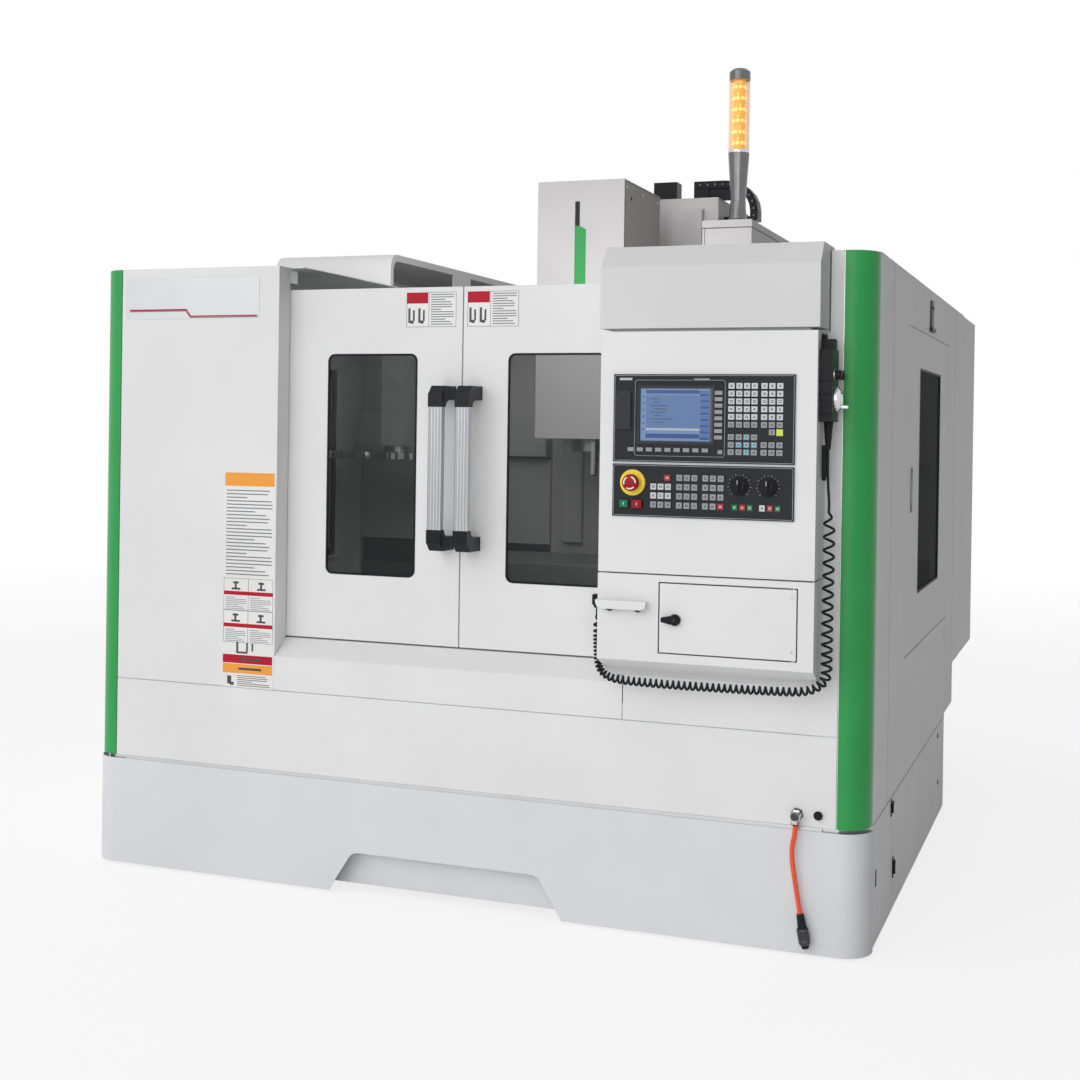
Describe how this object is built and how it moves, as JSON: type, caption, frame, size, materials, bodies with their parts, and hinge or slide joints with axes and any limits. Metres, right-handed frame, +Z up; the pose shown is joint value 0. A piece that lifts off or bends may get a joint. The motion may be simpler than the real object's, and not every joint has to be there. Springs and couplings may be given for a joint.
{
  "type": "cnc machining center",
  "caption": "Vertical machining centre: enclosed casting with table, spindle head, tool magazine, sliding doors, operator pod, hand pendant, beacon and rear cabinet.",
  "frame": {"origin": "on the floor in the middle of the footprint", "axes": "+X to the right of someone who faces the doors, +Y away from them, +Z up"},
  "size_m": [2.088, 2.59, 2.224],
  "materials": {
    "light_grey_paint": "fine texture, satin",
    "green_paint": "satin",
    "dark_window": "tinted",
    "brushed_bar": "fluted and brushed",
    "grey_casting": "painted casting",
    "machined_iron": "ground",
    "bare_steel": "brushed",
    "slate_panel": "matte film",
    "key_white": "matte",
    "red_plastic": "gloss",
    "green_plastic": "gloss",
    "black_plastic": "matte",
    "chrome": "polished",
    "amber_lens": "translucent amber",
    "black_cord": "satin",
    "orange_hose": "satin"
  },
  "bodies": {
    "machine": {"air_coupler": "chrome", "air_fitting": "chrome", "air_hose": "orange_hose", "base_front_panel": "light_grey_paint", "beacon_lens": "amber_lens", "beacon_pole": "chrome", "bed_casting": "grey_casting", "cable_carriers": "black_plastic", "cable_duct": "light_grey_paint", "chamber_linings": "bare_steel", "column": "grey_casting", "control_box": "light_grey_paint", "control_hood": "green_paint", "control_lower_box": "light_grey_paint", "cord_dense_run": "black_cord", "curly_cord": "black_cord", "electrical_cabinet": "light_grey_paint", "enclosure_frame": "bare_steel", "front_left_panel": "light_grey_paint", "front_lower_panel": "light_grey_paint", "front_right_panel": "light_grey_paint", "front_sill_panel": "light_grey_paint", "left_corner_column": "green_paint", "left_side_wall": "light_grey_paint", "levelling_feet": "bare_steel", "magazine_cover": "light_grey_paint", "operator_panels": "slate_panel", "panel_keys": "key_white", "pendant_body": "black_plastic", "right_corner_column": "green_paint", "right_side_wall": "light_grey_paint", "roof_panels": "light_grey_paint"},
    "left_door_body": {"left_door": "light_grey_paint", "left_door_glass": "dark_window", "left_door_handle": "brushed_bar"},
    "right_door_body": {"right_door": "light_grey_paint", "right_door_glass": "dark_window", "right_door_handle": "brushed_bar"},
    "left_side_door_body": {"left_side_door": "light_grey_paint", "left_side_glass": "dark_window"},
    "right_side_door_body": {"right_side_door": "light_grey_paint", "right_side_glass": "dark_window"},
    "cabinet_left": {"cabinet_door_left": "light_grey_paint"},
    "cabinet_right": {"cabinet_door_right": "light_grey_paint"},
    "service_panel": {"service_door": "light_grey_paint"},
    "latch": {"service_latch": "black_plastic"},
    "stop_mushroom": {"emergency_stop": "red_plastic"},
    "start_key": {"start_button": "green_plastic"},
    "stop_key": {"stop_button": "red_plastic"},
    "feed_override": {"feed_knob": "black_plastic"},
    "speed_override": {"speed_knob": "black_plastic"},
    "handwheel": {"pendant_wheel": "chrome"},
    "saddle_body": {"saddle": "grey_casting"},
    "middle_cover": {"way_cover_middle": "bare_steel"},
    "table_body": {"table": "machined_iron"},
    "head": {"head_casting": "grey_casting", "head_cover": "light_grey_paint"},
    "spindle_body": {"spindle": "bare_steel"},
    "magazine": {"magazine_carriage": "machined_iron"},
    "carousel": {"tool_carousel": "machined_iron"}
  },
  "joints": [
    {"name": "left_door_slide", "type": "slide", "parent": "machine", "child": "left_door_body", "axis": [-1, 0, 0], "range_m": [0, 0.425]},
    {"name": "right_door_slide", "type": "slide", "parent": "machine", "child": "right_door_body", "axis": [1, 0, 0], "range_m": [0, 0.355]},
    {"name": "left_side_door_hinge", "type": "hinge", "parent": "machine", "child": "left_side_door_body", "pos_m": [-1.031, 0.392, 1.04], "axis": [0, 0, -1], "range_deg": [0, 100]},
    {"name": "right_side_door_hinge", "type": "hinge", "parent": "machine", "child": "right_side_door_body", "pos_m": [1.031, 0.392, 1.04], "axis": [0, 0, 1], "range_deg": [0, 100]},
    {"name": "cabinet_left_hinge", "type": "hinge", "parent": "machine", "child": "cabinet_left", "pos_m": [-1.04, 1.3, 1], "axis": [0, 0, 1], "range_deg": [0, 120]},
    {"name": "cabinet_right_hinge", "type": "hinge", "parent": "machine", "child": "cabinet_right", "pos_m": [1.04, 1.3, 1], "axis": [0, 0, -1], "range_deg": [0, 120]},
    {"name": "service_door_hinge", "type": "hinge", "parent": "machine", "child": "service_panel", "pos_m": [0.886, -1.253, 0.7615], "axis": [0, 0, 1], "range_deg": [0, 110]},
    {"name": "service_latch_turn", "type": "hinge", "parent": "service_panel", "child": "latch", "pos_m": [0.617, -1.26, 0.7585], "axis": [0, 1, 0], "range_deg": [0, 90]},
    {"name": "emergency_stop_push", "type": "slide", "parent": "machine", "child": "stop_mushroom", "axis": [0, 1, 0], "range_m": [0, 0.006]},
    {"name": "start_push", "type": "slide", "parent": "machine", "child": "start_key", "axis": [0, 1, 0], "range_m": [0, 0.002], "stiffness_N_per_m": 900, "springref_m": -0.001},
    {"name": "stop_push", "type": "slide", "parent": "machine", "child": "stop_key", "axis": [0, 1, 0], "range_m": [0, 0.002], "stiffness_N_per_m": 900, "springref_m": -0.001},
    {"name": "feed_override_turn", "type": "hinge", "parent": "machine", "child": "feed_override", "pos_m": [0.7616, -1.264, 1.0663], "axis": [0, 1, 0], "range_deg": [-140, 140]},
    {"name": "speed_override_turn", "type": "hinge", "parent": "machine", "child": "speed_override", "pos_m": [0.8266, -1.264, 1.0653], "axis": [0, 1, 0], "range_deg": [-140, 140]},
    {"name": "handwheel_turn", "type": "hinge", "parent": "machine", "child": "handwheel", "pos_m": [0.962, -1.208, 1.262], "axis": [1, 0, 0], "continuous": true},
    {"name": "saddle_travel", "type": "slide", "parent": "machine", "child": "saddle_body", "axis": [0, 1, 0], "range_m": [-0.2, 0.2]},
    {"name": "middle_cover_travel", "type": "slide", "parent": "machine", "child": "middle_cover", "axis": [0, 1, 0], "range_m": [-0.1, 0.1]},
    {"name": "table_travel", "type": "slide", "parent": "saddle_body", "child": "table_body", "axis": [1, 0, 0], "range_m": [-0.3, 0.3]},
    {"name": "head_travel", "type": "slide", "parent": "machine", "child": "head", "axis": [0, 0, 1], "range_m": [-0.24, 0.25]},
    {"name": "spindle_turn", "type": "hinge", "parent": "head", "child": "spindle_body", "pos_m": [0, -0.06, 1.12], "axis": [0, 0, 1], "continuous": true},
    {"name": "magazine_travel", "type": "slide", "parent": "machine", "child": "magazine", "axis": [1, 0, 0], "range_m": [0, 0.475]},
    {"name": "carousel_turn", "type": "hinge", "parent": "magazine", "child": "carousel", "pos_m": [-0.675, -0.06, 1.095], "axis": [0, 0, 1], "continuous": true}
  ],
  "couplings": [
    {"joint": "middle_cover_travel", "follows": "saddle_travel", "ratio": 0.5}
  ]
}
